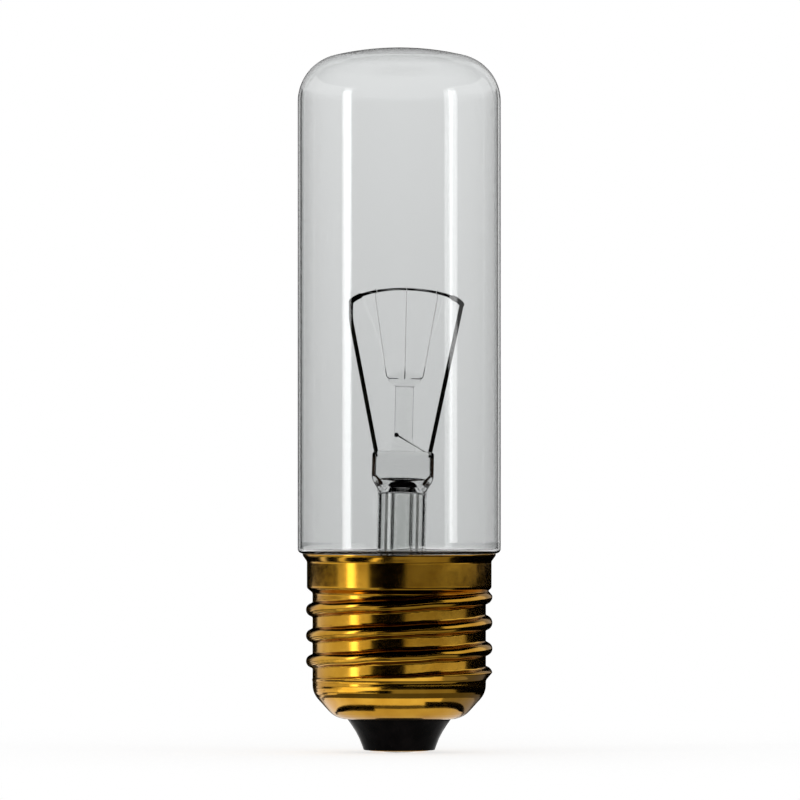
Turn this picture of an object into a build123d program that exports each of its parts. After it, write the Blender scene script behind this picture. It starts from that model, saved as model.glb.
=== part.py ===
from build123d import *

import math
import os

# Clear tubular incandescent lamp with a rolled brass screw cap.
# Millimetres, +Z up. The origin is the centre of the flat on the contact solder, the lamp's lowest
# point. The lamp stands cap down on its axis, with its filament fan spread along X.

# Overall
OVERALL_LENGTH = 100.0  # contact solder to the top of the dome

# Glass envelope
TUBE_DIAMETER = 28.8
GLASS_WALL = 0.5
CROWN_RADIUS = 40.0  # the nearly flat top of the dome
KNUCKLE_RADIUS = 6.8  # between the crown and the tube's side
SHOULDER_ROUND = 0.35  # share of the shoulder's width in the round where the tube turns in
NECK_ROUND = 0.3  # share of it in the round where the neck turns down
NECK_CLEARANCE = 0.35  # between the top of the neck and the cap's skirt
SEAL_DIAMETER = 20.4  # the neck's lower end, fused to the stem's flare
SEAL_HEIGHT = 16.75  # height of the seal on the lamp's axis
SEAL_STRAIGHT = 3.6  # straight length of neck above the seal
SEAL_TRIM = 1.0  # glass left below the seal before the neck is cut to it
TAPER_FILLET = 3.0
LIP_GAP = 0.04  # between the cap's lip and the glass shoulder

# Cap: solder, contact plate and black glass insulator
SOLDER_HEIGHT = 0.25
SOLDER_FLAT_DIAMETER = 3.0
SOLDER_DIAMETER = 5.2
SOLDER_PLUG_HEIGHT = 1.2  # solder drawn up into the eyelet
PLATE_PROUD = 0.1
PLATE_THICKNESS = 0.45
PLATE_DIAMETER = 8.6
EYELET_OUTSIDE_DIAMETER = 2.6
EYELET_BORE = 1.8
EYELET_HEIGHT = 2.2  # above the plate
INSULATOR_HEIGHT = 4.4
INSULATOR_BASE_DIAMETER = 10.1
INSULATOR_SAG = 0.3  # hollow of the cone's side
INSULATOR_EDGE = 0.15
INSULATOR_FILL = 3.1  # depth of black glass inside the shell
INSULATOR_DISH = 1.0  # hollow in the top of that fill
INSULATOR_BORE = 3.2  # clear way for the lead above the eyelet

# Cap: brass shell
SHELL_HEIGHT = 23.45
SHELL_WALL = 0.3
MOUTH_DIAMETER = 14.7
FLOOR_WIDTH = 1.6  # from the mouth to where floor and cone would meet
FLOOR_ROUND = 0.95  # share of that width in the round between floor and cone
CONE_HEIGHT = 3.68
CONE_FILLET = 3.0
SKIRT_DIAMETER = 26.2
SKIRT_HEIGHT = 3.75
STEP_HEIGHT = 0.7
STEP_FILLET = 0.5
LIP_PROUD = 0.6  # of the skirt
LIP_HEIGHT = 1.1
LIP_FLARE = 0.85  # height over which the sheet flares from skirt to lip
LIP_FILLET = 0.35
NOTCH_WIDTH = 0.7  # where the side lead passes through the lip
NOTCH_DEPTH = 0.9

# Cap: rolled thread
THREAD_MAJOR_DIAMETER = 26.45
THREAD_MINOR_DIAMETER = 24.6
THREAD_PITCH = 3.629
CREST_RADIUS = 0.95
CREST_FOOT = 2.3  # axial width of the ridge at the root
CREST_TOP_ON_RIGHT = 22.05  # height of the highest crest on the +X side
THREAD_START = 5.5  # height of the ridge's lower end above the shell's floor
RUN_OUT = 1.1  # height over which the ridge fades at each end
GROOVE_SUNK = 0.1  # how far the groove behind the ridge starts inside the wall

# Cement between the neck and the skirt
CEMENT_HEIGHT = 2.7
CEMENT_BELOW_LIP = 0.25

# Mount: everything on the stem leans as one
MOUNT_LEAN = 1.25  # degrees towards +X

# Stem: heights are above the seal, along the leaning axis
STEM_DIAMETER = 7.0
STEM_WALL = 0.75
FLARE_RADIUS = 5.5
PRESS_START = 20.0
PRESS_FULL = 22.4
PRESS_TOP = 26.0
PRESS_WIDTH = 8.8
PRESS_THICKNESS = 3.6
PRESS_CORNER = 1.2
PRESS_EDGE = 0.5
HOLLOW_TOP = 21.3
EXHAUST_DIAMETER = 3.4
EXHAUST_BORE = 2.5
EXHAUST_TOP = 22.2
EXHAUST_TIP = -7.2
EXHAUST_TIP_LENGTH = 2.6
EXHAUST_TIP_DIAMETER = 1.2
VENT_DIAMETER = 1.3
VENT_RISE = 2.6  # from the exhaust tube's top to the vent's mouth

# Arbor rod with its button
ROD_DIAMETER = 2.6
ROD_FOOT_DIAMETER = 3.4
ROD_FOOT_HEIGHT = 1.8
BUTTON_HEIGHT = 36.3  # middle of the button
BUTTON_DIAMETER = 4.6
BUTTON_THICKNESS = 2.1

# Lead-in wires
LEAD_DIAMETER = 0.6
CRIMP_DIAMETER = 0.74  # the lead's end, pressed round the filament's end
CRIMP_LENGTH = 3.2
SEAL_WIRE_DIAMETER = 0.25
OUTER_LEAD_DIAMETER = 0.4
OUTER_LEAD_BEND = 0.7
LEAD_FOOT_SPREAD = 3.85  # off the axis at the top of the press
LEAD_TIP_SPREAD = 7.85
LEAD_TIP_HEIGHT = 47.0
LEFT_KNEE = 2.4  # upright end of the left lead
LEFT_KNEE_BEND = 8.0
LEAD_SUNK = 0.9  # how far a lead goes into the press
OUTER_SPREAD = 2.22  # off the axis inside the stem tube
SEAL_WIRE_FOOT = 20.2
SEAL_WIRE_SPREAD = 3.7  # off the axis in the press
SEAL_WIRE_KNEE = 22.6
SEAL_WIRE_BEND = 0.6

# Filament and its supports
FILAMENT_DIAMETER = 0.42
FILAMENT_RISE = 2.05
FILAMENT_DEPTH = 6.0  # how far the middle stands behind the leads
FILAMENT_SHY = 0.25  # from the lead's bend to the filament's end
SUPPORT_DIAMETER = 0.1
SUPPORT_SPREAD = 4.4
SUPPORT_UPRIGHT = 1.8
SUPPORT_BEND = 1.5
SUPPORT_SUNK = 1.0  # how far a support goes into the button
SUPPORT_TURN = 300.0
LOOP_CLEARANCE = 0.02

# Getter pin: a stub of wire out of the press, with a dark bead at its end
PIN_DIAMETER = 0.2
PIN_BEAD_DIAMETER = 0.65
PIN_SUNK = 0.9  # how far the stub goes into the press
PIN_FOOT_SPREAD = 3.0  # off the axis towards the right lead
PIN_FOOT_DEPTH = 0.9  # in front of the leads
PIN_TIP_SPREAD = 1.0  # off the axis towards the left lead
PIN_TIP_DEPTH = 2.0
PIN_RISE = 2.3  # of the bead above the press

# Side lead, its solder, and the centre lead
SIDE_LEAD_AZIMUTH = 65.0  # degrees from +X, on the far side
SIDE_LEAD_DROP = 2.2  # below the seal
SIDE_LEAD_RADIUS = 11.1  # beside the neck, inside the thread
SIDE_LEAD_RISE = 4.0  # above the seal
RIM_SOLDER_RADIUS = 1.2
CENTRE_LEAD_DROP = 6.4  # below the seal

# Heights and radii that follow
INSULATOR_BASE = SOLDER_HEIGHT + PLATE_PROUD
SHELL_BASE = INSULATOR_BASE + INSULATOR_HEIGHT
LIP_TOP = SHELL_BASE + SHELL_HEIGHT
LIP_BASE = LIP_TOP - LIP_HEIGHT
SKIRT_BASE = LIP_BASE - SKIRT_HEIGHT
SHOULDER_BASE = LIP_TOP + LIP_GAP
TUBE_RADIUS = TUBE_DIAMETER / 2
NECK_TOP_RADIUS = SKIRT_DIAMETER / 2 - SHELL_WALL - NECK_CLEARANCE
SHOULDER_RADIUS = SHOULDER_ROUND * (TUBE_RADIUS - NECK_TOP_RADIUS)
NECK_FILLET = NECK_ROUND * (TUBE_RADIUS - NECK_TOP_RADIUS)
SEAL_RADIUS = SEAL_DIAMETER / 2
ROOT_RADIUS = THREAD_MINOR_DIAMETER / 2
CREST_TOP_RADIUS = THREAD_MAJOR_DIAMETER / 2
SKIRT_RADIUS = SKIRT_DIAMETER / 2
LIP_RADIUS = SKIRT_RADIUS + LIP_PROUD
MOUTH_RADIUS = MOUTH_DIAMETER / 2
FLOOR_RADIUS = MOUTH_RADIUS + FLOOR_WIDTH
CONE_ANGLE = math.atan2(CONE_HEIGHT, ROOT_RADIUS - FLOOR_RADIUS)
FLOOR_FILLET = FLOOR_ROUND * FLOOR_WIDTH / math.tan(CONE_ANGLE / 2)

MOUNT = Location((0, 0, SEAL_HEIGHT), (0, MOUNT_LEAN, 0))


def turned(outline):
    """A closed outline in the XZ plane, turned about the lamp's axis."""
    return revolve(make_face(outline), axis=Axis.Z)


def section(*points):
    """A closed polygon of (radius, height) points, turned about the lamp's axis."""
    return turned(Polyline(*[(r, 0, z) for r, z in points], close=True))


def sheet_section(outline, wall, side):
    """The band of that wall beside an open outline, turned about the lamp's axis."""
    band = Wire(outline.edges()).offset_2d(wall, side=side, closed=True)
    return revolve(Face(band), axis=Axis.Z)


def wire(path, diameter):
    """A round wire along a path."""
    line = Wire(path.edges())
    end = Plane(origin=line @ 0, z_dir=line % 0) * Circle(diameter / 2)
    return sweep(end, path=line)


def mounted(x, y, z):
    """A point of the leaning mount, in the lamp's own frame."""
    return (MOUNT * Pos(x, y, z)).position


def bulb_blank(wall):
    """The envelope as a solid, inset by that much of its wall, with a neck cut square."""
    crown_angle = math.degrees(
        math.asin((TUBE_RADIUS - KNUCKLE_RADIUS) / (CROWN_RADIUS - KNUCKLE_RADIUS))
    )
    shoulder = SHOULDER_BASE + wall
    neck_end = SEAL_HEIGHT - SEAL_TRIM - wall
    with BuildLine(Plane.XZ) as outline:
        centre = (0, OVERALL_LENGTH - CROWN_RADIUS)
        crown = CenterArc(centre, CROWN_RADIUS - wall, 90, -crown_angle)
        knuckle = JernArc(crown @ 1, crown % 1, KNUCKLE_RADIUS - wall, crown_angle - 90)
        side = Line(knuckle @ 1, (TUBE_RADIUS - wall, shoulder + 2 * SHOULDER_RADIUS))
        neck = FilletPolyline(
            side @ 1,
            (TUBE_RADIUS - wall, shoulder),
            (NECK_TOP_RADIUS - wall, shoulder),
            (SEAL_RADIUS - wall, SEAL_HEIGHT + SEAL_STRAIGHT),
            (SEAL_RADIUS - wall, neck_end),
            radius=[SHOULDER_RADIUS, NECK_FILLET, TAPER_FILLET],
        )
        Polyline(neck @ 1, (0, neck_end), crown @ 0)
    return turned(outline.line)


def glass_envelope():
    """The blown tube: a dome, a straight side, a tight shoulder and a neck cut to the seal."""
    below_seal = MOUNT * Box(
        TUBE_DIAMETER,
        TUBE_DIAMETER,
        OVERALL_LENGTH,
        align=(Align.CENTER, Align.CENTER, Align.MAX),
    )
    return bulb_blank(0) - bulb_blank(GLASS_WALL) - below_seal


def ridge_profile(crest_top, crest_radius, foot_radius, foot_width):
    """Section of a rolled ridge: a round crest on two straight flanks, level with z = 0."""
    centre = crest_top - crest_radius
    half_foot = foot_width / 2
    reach = math.hypot(centre - foot_radius, half_foot)
    flank = math.atan2(half_foot, foot_radius - centre) - math.acos(crest_radius / reach)
    touch = (centre + crest_radius * math.cos(flank), crest_radius * math.sin(flank))
    with BuildLine(Plane.XZ) as outline:
        lower = Line((foot_radius, -half_foot), (touch[0], -touch[1]))
        crest = ThreePointArc(lower @ 1, (crest_top, 0), touch)
        upper = Line(crest @ 1, (foot_radius, half_foot))
        Line(upper @ 1, lower @ 0)
    return make_face(outline.line)


def groove_profile(crest_top, foot_radius, foot_width):
    """Section of the groove behind a ridge: a plain trapezium, level with z = 0."""
    half_foot = foot_width / 2
    half_top = CREST_RADIUS - 2 * SHELL_WALL
    return make_face(
        Polyline(
            (foot_radius, 0, -half_foot),
            (crest_top, 0, -half_top),
            (crest_top, 0, half_top),
            (foot_radius, 0, half_foot),
            close=True,
        )
    )


def threaded(profile, root, crest):
    """A profile swept along the thread's helix, fading from crest to root at both ends."""
    bottom = SHELL_BASE + THREAD_START
    turns = math.ceil((CREST_TOP_ON_RIGHT - bottom) / THREAD_PITCH)
    start = CREST_TOP_ON_RIGHT - turns * THREAD_PITCH
    helix = Helix(THREAD_PITCH, (turns + 1) * THREAD_PITCH, root)
    swept = Pos(0, 0, start) * sweep(profile, path=helix, is_frenet=True)
    beyond = crest + CREST_RADIUS
    fade = (beyond - root) / (crest - root) * RUN_OUT
    kept = section(
        (0, bottom),
        (root, bottom),
        (beyond, bottom + fade),
        (beyond, SKIRT_BASE - fade),
        (root, SKIRT_BASE),
        (0, SKIRT_BASE),
    )
    return swept & kept


def mid_wall_core():
    """Everything inside the middle of the shell's wall, from the cone up to the skirt."""
    root = ROOT_RADIUS - SHELL_WALL / 2
    skirt = SKIRT_RADIUS - SHELL_WALL / 2
    return section(
        (0, SHELL_BASE),
        (root, SHELL_BASE),
        (root, SKIRT_BASE - STEP_HEIGHT),
        (skirt, SKIRT_BASE),
        (skirt, LIP_BASE),
        (0, LIP_BASE),
    )


def plain_shell():
    """The drawn brass shell before its thread is rolled: floor, cone, root, skirt and lip."""
    outline = FilletPolyline(
        (MOUTH_RADIUS, 0, SHELL_BASE),
        (FLOOR_RADIUS, 0, SHELL_BASE),
        (ROOT_RADIUS, 0, SHELL_BASE + CONE_HEIGHT),
        (ROOT_RADIUS, 0, SKIRT_BASE - STEP_HEIGHT),
        (SKIRT_RADIUS, 0, SKIRT_BASE),
        (SKIRT_RADIUS, 0, LIP_BASE),
        (LIP_RADIUS, 0, LIP_BASE + LIP_FLARE),
        (LIP_RADIUS, 0, LIP_TOP),
        radius=[FLOOR_FILLET, CONE_FILLET, STEP_FILLET, STEP_FILLET, LIP_FILLET, LIP_FILLET],
    )
    return sheet_section(outline, SHELL_WALL, Side.RIGHT)


def screw_shell():
    """The plain shell with its thread rolled through the wall, and a notch for the side lead."""
    ridge = threaded(
        ridge_profile(CREST_TOP_RADIUS, CREST_RADIUS, ROOT_RADIUS - SHELL_WALL, CREST_FOOT),
        ROOT_RADIUS,
        CREST_TOP_RADIUS,
    )
    inner_root = ROOT_RADIUS - SHELL_WALL
    inner_crest = CREST_TOP_RADIUS - SHELL_WALL
    groove = threaded(
        groove_profile(inner_crest, inner_root - GROOVE_SUNK, CREST_FOOT - SHELL_WALL),
        inner_root,
        inner_crest,
    )
    notch = Rot(0, 0, SIDE_LEAD_AZIMUTH) * Pos(SKIRT_RADIUS, 0, LIP_TOP) * Box(
        2 * (LIP_PROUD + LIP_HEIGHT), NOTCH_WIDTH, 2 * NOTCH_DEPTH
    )
    return plain_shell() + (ridge - mid_wall_core()) - groove - notch


def stem_blank():
    """The flare tube and its press as a solid, in the mount's own frame."""
    inside = STEM_DIAMETER / 2 - STEM_WALL
    outline = FilletPolyline(
        (SEAL_RADIUS, 0, -STEM_WALL),
        (inside, 0, -STEM_WALL),
        (inside, 0, PRESS_START),
        radius=FLARE_RADIUS,
    )
    flare = sheet_section(outline, STEM_WALL, Side.RIGHT)
    round_end = Pos(0, 0, PRESS_START) * Circle(STEM_DIAMETER / 2)
    flat_end = Pos(0, 0, PRESS_FULL) * press_outline()
    squeezed = loft([round_end.face(), flat_end.face()])
    press = Pos(0, 0, PRESS_FULL) * extrude(press_outline(), PRESS_TOP - PRESS_FULL)
    press = fillet(press.faces().sort_by(Axis.Z)[-1].edges(), PRESS_EDGE)
    hollow = section(
        (0, PRESS_START),
        (inside, PRESS_START),
        (EXHAUST_DIAMETER / 2, HOLLOW_TOP),
        (0, HOLLOW_TOP),
    )
    return flare + squeezed + press - hollow


def press_outline():
    """The flattened end of the stem tube: a rectangle with rounded corners."""
    return RectangleRounded(PRESS_WIDTH, PRESS_THICKNESS, PRESS_CORNER)


def exhaust_tube():
    """The exhaust tube, open in the press and sealed to a point in the cap."""
    outside = EXHAUST_DIAMETER / 2
    tip = EXHAUST_TIP_DIAMETER / 2
    wall = (EXHAUST_DIAMETER - EXHAUST_BORE) / 2
    tip_start = EXHAUST_TIP + EXHAUST_TIP_LENGTH
    blank = section(
        (0, EXHAUST_TIP),
        (tip, EXHAUST_TIP),
        (outside, tip_start),
        (outside, EXHAUST_TOP),
        (0, EXHAUST_TOP),
    )
    bore = section(
        (0, tip_start - wall),
        (EXHAUST_BORE / 2, tip_start),
        (EXHAUST_BORE / 2, EXHAUST_TOP),
        (0, EXHAUST_TOP),
    )
    return MOUNT * (blank - bore)


def vent():
    """The blown hole from the exhaust tube out through the front of the press."""
    low = Vector(0, 0, EXHAUST_TOP)
    out = Vector(0, -PRESS_THICKNESS / 2, VENT_RISE)
    mouth = Plane(origin=low, z_dir=out) * Circle(VENT_DIAMETER / 2)
    return MOUNT * extrude(mouth, 2 * out.length)


def filament_bow():
    """The filament's line in the mount's own frame: raised in the middle, and behind the leads."""
    return ThreePointArc(
        (-LEAD_TIP_SPREAD, 0, LEAD_TIP_HEIGHT),
        (0, FILAMENT_DEPTH, LEAD_TIP_HEIGHT + FILAMENT_RISE),
        (LEAD_TIP_SPREAD, 0, LEAD_TIP_HEIGHT),
    )


def filament():
    """The outer form of the tungsten coil, from one crimp to the other."""
    bow = filament_bow().edge()
    shy = FILAMENT_SHY / bow.length
    return MOUNT * wire(bow.trim(shy, 1 - shy), FILAMENT_DIAMETER)


def lead_slope(side):
    """Direction of an inner lead as it leaves the press."""
    spread = LEAD_TIP_SPREAD - LEAD_FOOT_SPREAD
    return Vector(side * spread, 0, LEAD_TIP_HEIGHT - PRESS_TOP).normalized()


def lead_foot(side):
    """The sunk lower end of an inner lead."""
    return Vector(side * LEAD_FOOT_SPREAD, 0, PRESS_TOP) - lead_slope(side) * LEAD_SUNK


def lead_wire(side):
    """An inner lead: out of the press in a V, its end bent and pressed round the coil's end."""
    bow = filament_bow().edge()
    share = CRIMP_LENGTH / bow.length
    crimped = bow.trim(0, share) if side < 0 else bow.trim(1 - share, 1)
    tip = Vector(side * LEAD_TIP_SPREAD, 0, LEAD_TIP_HEIGHT)
    if side < 0:
        knee = tip - Vector(0, 0, LEFT_KNEE)
        run = FilletPolyline(lead_foot(side), knee, tip, radius=LEFT_KNEE_BEND)
    else:
        run = Line(lead_foot(side), tip)
    elbow = Pos(*tip) * Sphere(CRIMP_DIAMETER / 2)
    lead = wire(run, LEAD_DIAMETER) + elbow + wire(crimped, CRIMP_DIAMETER)
    return MOUNT * lead


def support_wire(side):
    """A support: out of the button, up, and looped round the coil."""
    bow = filament_bow().edge()
    at = 0.5 + side * support_share(bow)
    ring = (FILAMENT_DIAMETER + SUPPORT_DIAMETER) / 2 + LOOP_CLEARANCE
    across = Plane(origin=bow @ at, x_dir=Vector(0, 0, 1).cross(bow % at), z_dir=bow % at)
    loop = across * CenterArc((0, 0), ring, 0, SUPPORT_TURN)
    tip = loop @ 0
    reach = Vector(tip.X, tip.Y, 0).normalized()
    button = Vector(0, 0, BUTTON_HEIGHT)
    run = FilletPolyline(
        button + reach * (BUTTON_DIAMETER / 2 - SUPPORT_SUNK),
        button + reach * (BUTTON_DIAMETER / 2 + SUPPORT_BEND),
        tip - (loop % 0) * SUPPORT_UPRIGHT,
        tip,
        radius=SUPPORT_BEND / 2,
    )
    return MOUNT * wire(Curve() + [run, loop], SUPPORT_DIAMETER)


def support_share(bow):
    """Share of the bow between its middle and a side support."""
    centre = bow.edge().arc_center
    middle = (bow @ 0.5) - centre
    half = middle.get_angle((bow @ 1) - centre)
    return 0.5 * math.degrees(math.asin(SUPPORT_SPREAD / bow.edge().radius)) / half


def button_rod():
    """The arbor: a foot on the press, a rod and an oblate button."""
    rod = ROD_DIAMETER / 2
    half = BUTTON_THICKNESS / 2
    flat = (BUTTON_DIAMETER - BUTTON_THICKNESS) / 2
    with BuildLine(Plane.XZ) as outline:
        foot = Polyline(
            (0, PRESS_TOP),
            (ROD_FOOT_DIAMETER / 2, PRESS_TOP),
            (rod, PRESS_TOP + ROD_FOOT_HEIGHT),
            (rod, BUTTON_HEIGHT - half),
            (flat, BUTTON_HEIGHT - half),
        )
        edge = ThreePointArc(
            foot @ 1,
            (flat + half, BUTTON_HEIGHT),
            (flat, BUTTON_HEIGHT + half),
        )
        Polyline(edge @ 1, (0, BUTTON_HEIGHT + half), foot @ 0)
    return MOUNT * turned(outline.line)


def seal_wire(side):
    """The wire through the press, from the stem's hollow to the foot of the inner lead."""
    path = FilletPolyline(
        (side * OUTER_SPREAD, 0, SEAL_WIRE_FOOT),
        (side * SEAL_WIRE_SPREAD, 0, SEAL_WIRE_KNEE),
        lead_foot(side),
        radius=SEAL_WIRE_BEND,
    )
    return MOUNT * wire(path, SEAL_WIRE_DIAMETER)


def getter_pin():
    """A stub of wire that leans out of the press past the arbor, with a bead at its end."""
    stub = PIN_DIAMETER / 2
    bead = PIN_BEAD_DIAMETER / 2
    foot = Vector(PIN_FOOT_SPREAD, -PIN_FOOT_DEPTH, PRESS_TOP)
    tip = Vector(-PIN_TIP_SPREAD, -PIN_TIP_DEPTH, PRESS_TOP + PIN_RISE)
    along = tip - foot
    reach = along.length + PIN_SUNK
    with BuildLine(Plane.XZ) as outline:
        shank = Polyline((0, 0), (stub, 0), (stub, reach - math.sqrt(bead**2 - stub**2)))
        ball = ThreePointArc(shank @ 1, (bead, reach), (0, reach + bead))
        Line(ball @ 1, shank @ 0)
    lower_end = Plane(origin=foot - along.normalized() * PIN_SUNK, z_dir=along)
    return MOUNT * lower_end.location * turned(outline.line)


def outer_lead_shell():
    """The side lead: down the stem, out under the flare, up beside the neck and through the lip."""
    angle = math.radians(SIDE_LEAD_AZIMUTH)
    outward = Vector(math.cos(angle), math.sin(angle), 0)
    in_gap = (NECK_TOP_RADIUS + SKIRT_RADIUS - SHELL_WALL) / 2
    notch = Vector(0, 0, LIP_TOP - NOTCH_DEPTH / 2)
    path = FilletPolyline(
        mounted(-OUTER_SPREAD, 0, SEAL_WIRE_FOOT),
        mounted(-OUTER_SPREAD, 0, -SIDE_LEAD_DROP),
        outward * SIDE_LEAD_RADIUS + Vector(0, 0, SEAL_HEIGHT - SIDE_LEAD_DROP),
        outward * SIDE_LEAD_RADIUS + Vector(0, 0, SEAL_HEIGHT + SIDE_LEAD_RISE),
        outward * in_gap + notch,
        outward * LIP_RADIUS + notch,
        radius=OUTER_LEAD_BEND,
    )
    return wire(path, OUTER_LEAD_DIAMETER)


def outer_lead_contact():
    """The centre lead: down the stem, past the exhaust tip and down the eyelet to the solder."""
    path = FilletPolyline(
        mounted(OUTER_SPREAD, 0, SEAL_WIRE_FOOT),
        mounted(OUTER_SPREAD, 0, -CENTRE_LEAD_DROP),
        (0, 0, SHELL_BASE + INSULATOR_DISH),
        (0, 0, SOLDER_HEIGHT),
        radius=OUTER_LEAD_BEND,
    )
    return wire(path, OUTER_LEAD_DIAMETER)


def cap_insulator(shell):
    """The black glass: a hollow-sided cone below the shell and a dished fill inside it."""
    base = INSULATOR_BASE_DIAMETER / 2
    fill_top = SHELL_BASE + INSULATOR_FILL
    mid_wall = SHELL_WALL / 2
    flare = (ROOT_RADIUS - FLOOR_RADIUS) / CONE_HEIGHT
    middle = ((MOUTH_RADIUS + base) / 2 - INSULATOR_SAG, (SHELL_BASE + INSULATOR_BASE) / 2)
    with BuildLine(Plane.XZ) as outline:
        floor = Polyline(
            (0, fill_top - INSULATOR_DISH),
            (0, INSULATOR_BASE),
            (base - INSULATOR_EDGE, INSULATOR_BASE),
            (base, INSULATOR_BASE + INSULATOR_EDGE),
        )
        side = ThreePointArc(floor @ 1, middle, (MOUTH_RADIUS, SHELL_BASE))
        Polyline(
            side @ 1,
            (MOUTH_RADIUS, SHELL_BASE + mid_wall),
            (FLOOR_RADIUS - mid_wall, SHELL_BASE + mid_wall),
            (FLOOR_RADIUS - mid_wall + INSULATOR_FILL * flare, fill_top),
            floor @ 0,
        )
    bore = Cylinder(INSULATOR_BORE / 2, OVERALL_LENGTH)
    return turned(outline.line) - shell - bore


def contact_plate():
    """The centre contact: a disc let into the black glass, with an eyelet drawn up from it."""
    base = SOLDER_HEIGHT
    eyelet_top = base + PLATE_THICKNESS + EYELET_HEIGHT
    return section(
        (EYELET_BORE / 2, base),
        (PLATE_DIAMETER / 2, base),
        (PLATE_DIAMETER / 2, base + PLATE_THICKNESS),
        (EYELET_OUTSIDE_DIAMETER / 2, base + PLATE_THICKNESS),
        (EYELET_OUTSIDE_DIAMETER / 2, eyelet_top),
        (EYELET_BORE / 2, eyelet_top),
    )


def contact_solder():
    """The solder: a flattened drop under the plate and a plug in the eyelet."""
    plug = EYELET_BORE / 2
    plug_top = SOLDER_HEIGHT + SOLDER_PLUG_HEIGHT
    with BuildLine(Plane.XZ) as outline:
        flat = Line((0, 0), (SOLDER_FLAT_DIAMETER / 2, 0))
        edge = TangentArc(flat @ 1, (SOLDER_DIAMETER / 2, SOLDER_HEIGHT), tangent=flat % 1)
        Polyline(edge @ 1, (plug, SOLDER_HEIGHT), (plug, plug_top), (0, plug_top), flat @ 0)
    return turned(outline.line)


def rim_solder():
    """The drop of solder over the side lead where it passes the lip."""
    height = LIP_TOP - RIM_SOLDER_RADIUS
    drop = Pos(SKIRT_RADIUS, 0, height) * Sphere(RIM_SOLDER_RADIUS)
    return Rot(0, 0, SIDE_LEAD_AZIMUTH) * drop


def basing_cement():
    """The ring of cement that fills the space between the neck and the skirt."""
    top = LIP_BASE - CEMENT_BELOW_LIP
    inside = SEAL_RADIUS
    outside = SKIRT_RADIUS - SHELL_WALL / 2
    return section(
        (inside, top - CEMENT_HEIGHT),
        (outside, top - CEMENT_HEIGHT),
        (outside, top),
        (inside, top),
    )


def largest(shape):
    """The largest solid of a cut piece."""
    return shape.solids().sort_by(SortBy.VOLUME)[-1]


def main():
    os.makedirs("parts", exist_ok=True)
    coil = filament()
    sides = (("left", -1), ("right", 1))
    leads = {name: lead_wire(side) - coil for name, side in sides}
    seals = {name: seal_wire(side) - leads[name] for name, side in sides}
    supports = {
        name: support_wire(side) for name, side in (("left", -1), ("centre", 0), ("right", 1))
    }
    side_lead = outer_lead_shell()
    centre_lead = outer_lead_contact()
    exhaust = exhaust_tube()
    pin = getter_pin()
    sunk = [*leads.values(), *seals.values(), pin, exhaust, vent()]
    stem = MOUNT * stem_blank() - sunk
    arbor = button_rod() - [*supports.values()]
    bulb = glass_envelope()
    shell = screw_shell()
    plate = contact_plate()
    insulator = largest(cap_insulator(plain_shell()) - plate)
    cement = largest(basing_cement() - bulb - plain_shell() - side_lead)
    solder = contact_solder() - centre_lead
    drop = largest(rim_solder() - shell - bulb - side_lead - cement)
    parts = {
        "glass_envelope": bulb,
        "stem_tube": stem,
        "exhaust_tube": exhaust,
        "button_rod": arbor,
        "outer_lead_shell": side_lead,
        "outer_lead_contact": centre_lead,
        "filament": coil,
        "getter_pin": pin,
        "screw_shell": shell,
        "cap_insulator": insulator,
        "contact_plate": plate,
        "contact_solder": solder,
        "rim_solder": drop,
        "basing_cement": cement,
    }
    parts |= {f"lead_wire_{name}": shape for name, shape in leads.items()}
    parts |= {f"seal_wire_{name}": shape for name, shape in seals.items()}
    parts |= {f"support_wire_{name}": shape for name, shape in supports.items()}
    for name, shape in parts.items():
        export_step(shape, f"parts/{name}.step")


main()
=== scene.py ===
# %% [markdown]
# # A clear tubular lamp
# The lamp is a blown glass tube on a rolled brass screw cap, with a glass mount inside that
# carries a filament on two lead wires. The CAD solids are the frame of the lesson: they are loaded
# once, they never move, and each piece made here is built where its solid says it is, in metres.

# %% Load the frame
import math

import bmesh
import bpy
from mathutils import Matrix, Vector


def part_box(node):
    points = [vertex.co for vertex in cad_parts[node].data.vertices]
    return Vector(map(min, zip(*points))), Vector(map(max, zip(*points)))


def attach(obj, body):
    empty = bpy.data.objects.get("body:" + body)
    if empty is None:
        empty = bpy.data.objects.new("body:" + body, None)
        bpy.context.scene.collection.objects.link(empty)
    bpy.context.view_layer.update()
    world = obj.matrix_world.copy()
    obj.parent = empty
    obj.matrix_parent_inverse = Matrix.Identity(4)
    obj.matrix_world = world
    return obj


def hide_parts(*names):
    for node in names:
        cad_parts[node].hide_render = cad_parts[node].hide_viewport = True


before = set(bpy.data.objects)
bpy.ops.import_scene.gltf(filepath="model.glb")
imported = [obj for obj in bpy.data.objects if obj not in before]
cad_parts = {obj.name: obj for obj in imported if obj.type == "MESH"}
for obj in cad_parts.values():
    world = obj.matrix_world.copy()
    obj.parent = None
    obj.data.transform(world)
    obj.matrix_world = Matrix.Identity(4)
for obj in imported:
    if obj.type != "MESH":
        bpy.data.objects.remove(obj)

MM = 0.001
scene = bpy.context.scene
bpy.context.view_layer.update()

# %% [markdown]
# ## Sizes read from the frame
# A turned piece is known by a few radii and heights. Those that show in a solid's box are read
# from it, so that the dressed lamp follows the CAD model when that changes.

# %% Measure the solids
tube_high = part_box("glass_envelope")[1]
shell_low, shell_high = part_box("screw_shell")
insulator_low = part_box("cap_insulator")[0]
plate_low, plate_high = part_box("contact_plate")
solder_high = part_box("contact_solder")[1]
rim_low, rim_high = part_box("rim_solder")

TUBE_RADIUS, DOME_TOP = tube_high.x, tube_high.z
LIP_RADIUS, LIP_TOP = shell_high.x, shell_high.z
SHELL_BASE = shell_low.z
PLATE_RADIUS = plate_high.x
print(f"tube {2 * TUBE_RADIUS / MM:.1f} mm across, lamp {DOME_TOP / MM:.1f} mm tall")

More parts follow.
